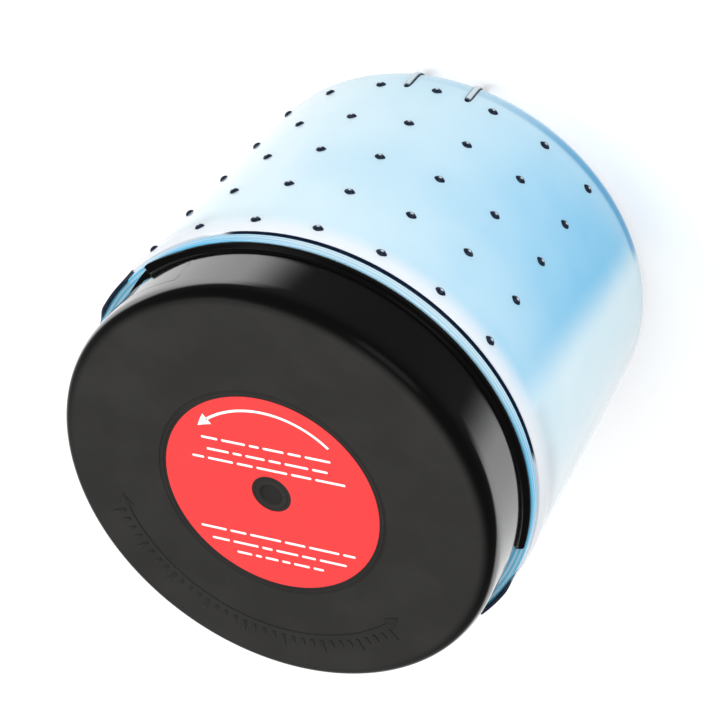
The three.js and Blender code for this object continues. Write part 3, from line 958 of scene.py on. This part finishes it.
class CANISTER_OT_label(bpy.types.Operator):
    """Adds the red label, with plain white marks in place of print"""
    bl_idname = "canister.label"
    bl_label = "Label"

    def execute(self, context):
        label = context.scene.canister_label
        bottom = TOP - context.scene.canister_lid.recess_depth + 0.02 * MM
        top = bottom + label.thickness
        inner, outer = label.hole_r, label.radius
        section = rounded([(inner, bottom, 0), (outer, bottom, 0.02 * MM), (outer, top, 0.1 * MM),
                           (inner, top, 0.1 * MM), (inner, bottom, 0)], 3)[:-1]
        ring = Surface().grid(revolve(section, all_round(240)), close_u=True, close_v=True)
        add_piece(ring, "label_vinyl", "lid", "red_label", label_vinyl(label), "label")
        marks = Surface()
        self.arc_arrow(marks, top)
        self.lines(marks, top)
        place = turn(math.degrees(label.up) - 90)
        marks.points = [placed(p, place) for p in marks.points]
        add_piece(marks, "label_print", "lid", "red_label", print_ink(label), sharp=60.0)
        return {"FINISHED"}

    def arc_arrow(self, marks, top):
        """A curved arrow over the lines: a thin ring sector, and a head that narrows to a point."""
        heights = {"low": top - TOP - 0.03 * MM, "high": top - TOP + 0.05 * MM}
        r, half = 45.5 * MM, 0.7 * MM
        shaft = np.radians(90 + np.linspace(-44, 38, 60))
        marks.bars(slab(r - half, r + half, shaft, **heights))
        along = 90 + np.linspace(37.5, 46, 10)
        marks.bars(arrow_head(r, along, 3.2 * MM, **heights))

    def lines(self, marks, top):
        """Rows of plain dashes: each row has its place and half its width, in millimetres, and the
        shares are the dashes' lengths. A dash is a flat slab with half-round ends."""
        rows = ((25.5, 32), (19.2, 30), (13.8, 38), (-26.8, 39), (-33.0, 34), (-38.7, 22))
        shares = (0.15, 0.22, 0.09, 0.19, 0.12, 0.23)
        gap, half = 1.9 * MM, 0.6 * MM
        for k, (y, half_width) in enumerate(rows):
            free = 2 * half_width * MM - gap * (len(shares) - 1)
            x = -half_width * MM
            for share in shares[k % 4:] + shares[:k % 4]:
                x_next = x + free * share
                marks.bars(dash(x + half, x_next - half, y * MM, half, top))
                x = x_next + gap


def dash(x0, x1, y, half, top):
    """A slab along x whose half width is that of a half circle at each end."""
    end = np.linspace(-np.pi / 2, 0, 7)
    x = np.concatenate([x0 + half * np.sin(end), x1 - half * np.sin(end[::-1])])
    w = half * np.concatenate([np.cos(end), np.cos(end[::-1])]) + 0.02 * MM
    low, high = top - 0.03 * MM, top + 0.05 * MM
    across = np.array([-1, -1, 1, 1])[None, :] * w[:, None]
    z = np.array([low, high, high, low])[None, :] + 0 * across
    return np.stack([x[:, None] + 0 * across, y + across, z], 2)


# ---- Stage ----

class CANISTER_OT_stage(bpy.types.Operator):
    """Adds the pale floor, the soft lights and the camera"""
    bl_idname = "canister.stage"
    bl_label = "Stage"

    def execute(self, context):
        stage = context.scene.canister_stage
        self.floor(stage)
        self.world(context)
        self.lights()
        self.camera(context, stage)
        return {"FINISHED"}

    def floor(self, stage):
        """A flat square whose edge is far outside every view."""
        side = np.linspace(-6, 6, 13)
        x, y = np.meshgrid(side, side, indexing="ij")
        floor = Surface().grid(np.stack([x, y, 0 * x - 0.0002], 2)).build("floor")
        if floor.data.polygons[0].normal.z < 0:
            floor.data.flip_normals()
        floor.data.materials.append(painted_floor(tuple(stage.floor)))

    def world(self, context):
        """An even pale surrounding."""
        world = bpy.data.worlds.new("soft_room")
        world.use_nodes = True
        back = world.node_tree.nodes["Background"]
        back.inputs["Color"].default_value = (1.0, 1.0, 1.0, 1.0)
        back.inputs["Strength"].default_value = 0.8
        context.scene.world = world
        context.scene.view_settings.view_transform = "Standard"

    def lights(self):
        """Large soft boxes: one overhead, one in front and one to the side."""
        for name, place, aim, size, power in (
            ("overhead_box", (0.0, 0.1, 1.9), (0.0, 0.0, 0.12), 1.2, 9.0),
            ("front_box", (-0.72, -1.03, 1.0), (0.0, 0.0, 0.12), 0.7, 8.0),
            ("side_box", (0.6, -0.25, 1.1), (0.35, -0.15, 0.0), 0.5, 4.5),
        ):
            light = bpy.data.lights.new(name, "AREA")
            light.size = size
            light.energy = power
            lamp = bpy.data.objects.new(name, light)
            lamp.location = place
            way = Vector(aim) - Vector(place)
            lamp.rotation_euler = way.to_track_quat("-Z", "Y").to_euler()
            bpy.context.scene.collection.objects.link(lamp)

    def camera(self, context, stage):
        """Looks at a point near the axis from its azimuth and elevation, and rolls about that line."""
        az, el, roll = stage.azimuth, stage.elevation, stage.roll
        back = Vector((math.cos(el) * math.cos(az), math.cos(el) * math.sin(az), math.sin(el)))
        right = Vector((-math.sin(az), math.cos(az), 0))
        up = back.cross(right)
        x_axis = math.cos(roll) * right - math.sin(roll) * up
        y_axis = math.sin(roll) * right + math.cos(roll) * up
        aim = Vector((0, 0, stage.aim_z)) + stage.aim_side * right
        camera = bpy.data.cameras.new("camera")
        camera.lens = stage.lens
        holder = bpy.data.objects.new("camera", camera)
        turned = Matrix((x_axis, y_axis, back)).transposed().to_4x4()
        holder.matrix_world = Matrix.Translation(aim + back * stage.distance) @ turned
        context.scene.collection.objects.link(holder)
        context.scene.camera = holder


class CANISTER_PT_sidebar(bpy.types.Panel):
    """Lists the canister's pieces and their sizes"""
    bl_label = "Bear canister"
    bl_idname = "CANISTER_PT_sidebar"
    bl_space_type = "VIEW_3D"
    bl_region_type = "UI"
    bl_category = "Canister"

    def draw(self, context):
        for operator in OPERATORS:
            self.layout.operator(operator.bl_idname)
        for name, group in GROUPS.items():
            box = self.layout.box()
            for key in group.__annotations__:
                box.prop(getattr(context.scene, name), key)


OPERATORS = (CANISTER_OT_stage, CANISTER_OT_housing, CANISTER_OT_lid, CANISTER_OT_snaps,
             CANISTER_OT_label)


def register():
    for cls in (*GROUPS.values(), *OPERATORS, CANISTER_PT_sidebar):
        bpy.utils.register_class(cls)
    for name, group in GROUPS.items():
        setattr(bpy.types.Scene, name, PointerProperty(type=group))


def unregister():
    for name in GROUPS:
        delattr(bpy.types.Scene, name)
    for cls in (CANISTER_PT_sidebar, *reversed(OPERATORS), *reversed(GROUPS.values())):
        bpy.utils.unregister_class(cls)


def main():
    register()
    bpy.ops.canister.stage()
    bpy.ops.canister.housing()
    bpy.ops.canister.lid()
    bpy.ops.canister.snaps()
    bpy.ops.canister.label()


if __name__ == "__main__":
    main()
